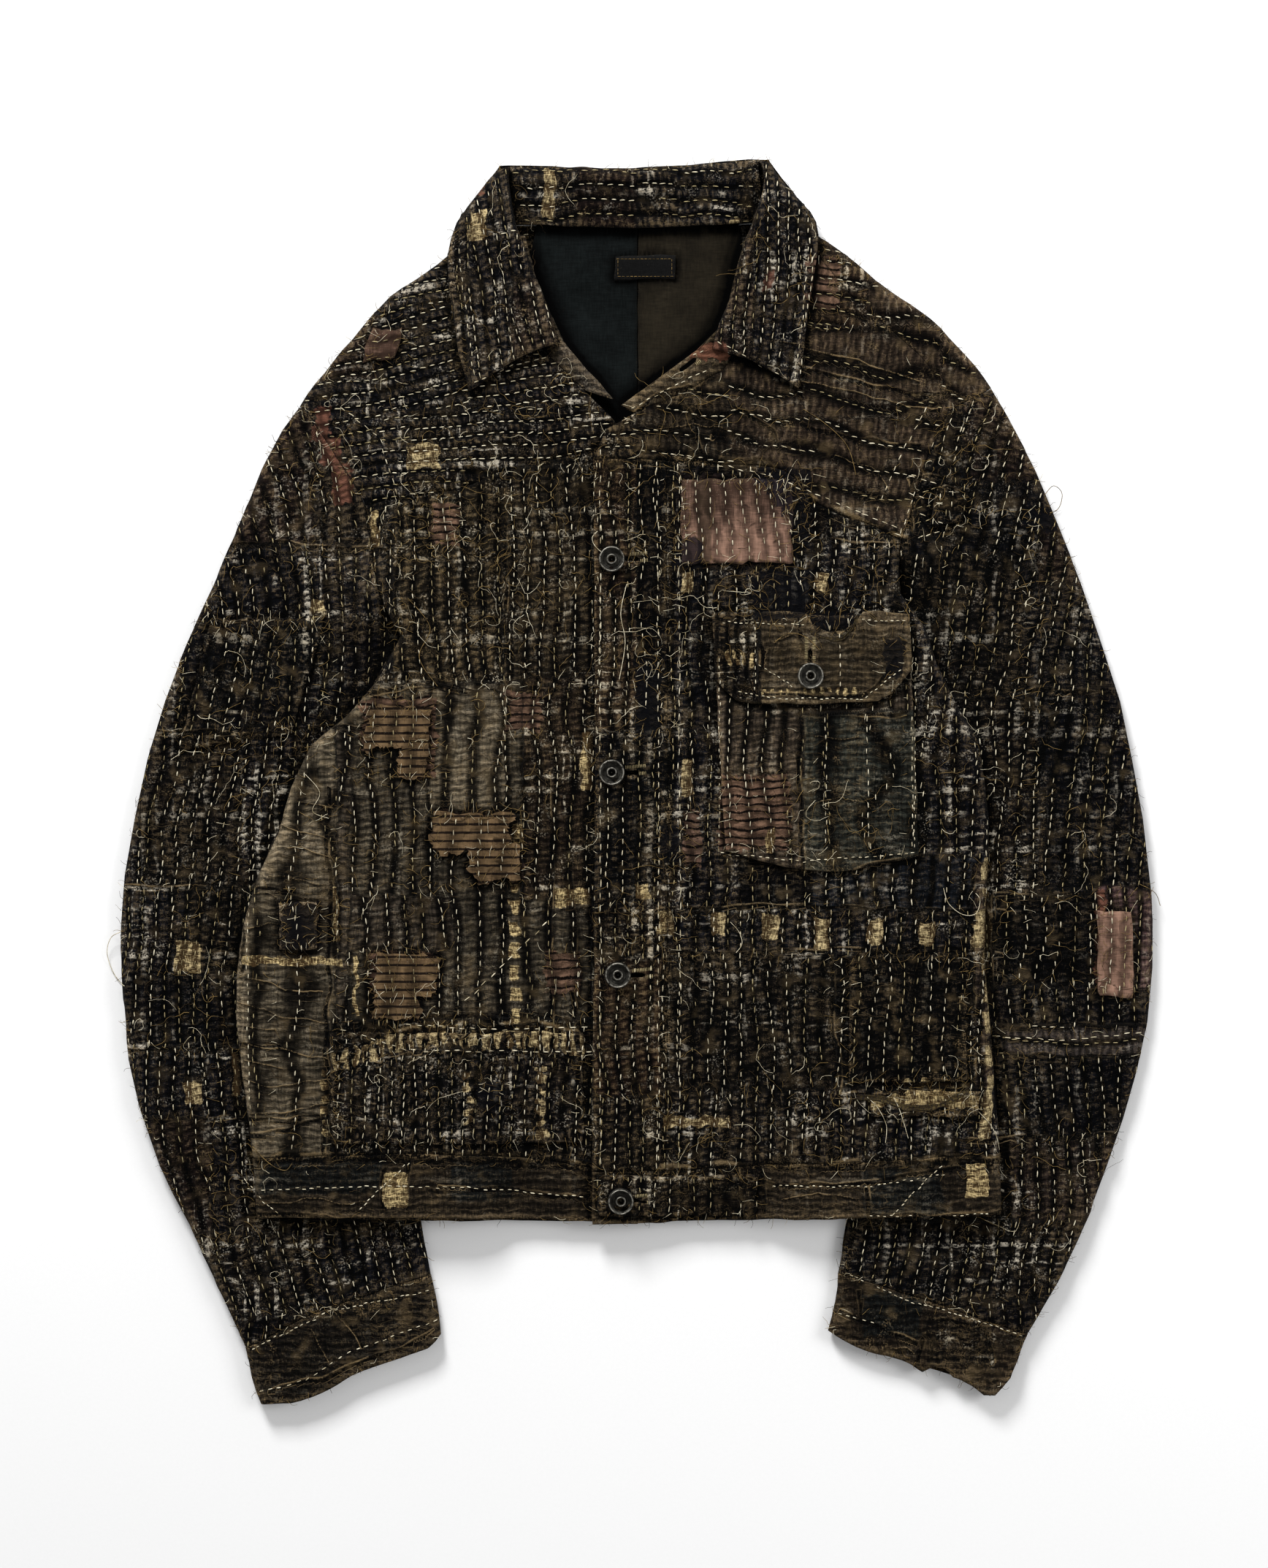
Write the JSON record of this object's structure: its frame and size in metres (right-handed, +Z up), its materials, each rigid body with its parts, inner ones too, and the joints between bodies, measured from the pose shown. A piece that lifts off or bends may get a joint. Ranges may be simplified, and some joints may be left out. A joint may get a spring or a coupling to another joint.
{
  "type": "jacket",
  "caption": "Short collared work jacket of quilted and patched dark cotton, buttoned and lying flat on its back with its sleeves beside it.",
  "frame": {"origin": "bottom centre of the jacket's box, on the surface it lies on", "axes": "+Z up from the surface, +Y from the hem towards the collar, +X towards the wearer's left arm"},
  "size_m": [0.6802, 0.8206, 0.0309],
  "materials": {
    "indigo": "worn near-black cotton, quilted with running stitch",
    "brown_black": "worn dark brown cotton",
    "olive": "worn olive-brown cotton",
    "grey_olive": "worn grey-olive cotton",
    "rose": "faded rose cotton",
    "striped_brown": "worn brown striped cotton",
    "ochre": "faded ochre cotton",
    "lining_dark": "dark slate lining",
    "lining_brown": "dark brown lining",
    "label_black": "black woven tape",
    "worn_metal": "dull worn metal"
  },
  "bodies": {
    "root": {"back_panel": "indigo", "back_waistband": "olive", "back_yoke": "indigo", "back_yoke_wrap": "brown_black", "right_sleeve_upper": "indigo", "right_sleeve_under": "indigo", "left_sleeve_upper": "indigo", "left_sleeve_under": "indigo", "right_cuff_upper": "olive", "right_cuff_under": "olive", "left_cuff_upper": "olive", "left_cuff_under": "olive", "right_front": "grey_olive", "left_front": "indigo", "placket": "brown_black", "right_front_yoke": "indigo", "left_front_yoke": "olive", "right_waistband": "olive", "left_waistband": "olive", "lining_right": "lining_dark", "lining_left": "lining_brown", "neck_label": "label_black", "leaf_right": "indigo", "leaf_left": "indigo", "stand_right": "indigo", "stand_left": "ochre", "stand_back": "striped_brown", "leaf_back": "indigo", "chest_pocket": "grey_olive", "pocket_flap": "olive", "patch_rose": "rose", "patch_brown": "brown_black", "patch_ochre_strip": "ochre", "patch_striped_high": "striped_brown", "patch_striped_mid": "striped_brown", "patch_striped_low": "striped_brown", "patch_small_dark": "brown_black", "patch_plaid": "indigo", "patch_black": "label_black", "patch_pink_sleeve": "rose", "patch_dark_sleeve": "brown_black", "patch_rust": "rose", "patch_waist": "brown_black", "button_1": "worn_metal", "button_2": "worn_metal", "button_3": "worn_metal", "button_4": "worn_metal", "flap_button": "worn_metal"}
  },
  "joints": []
}
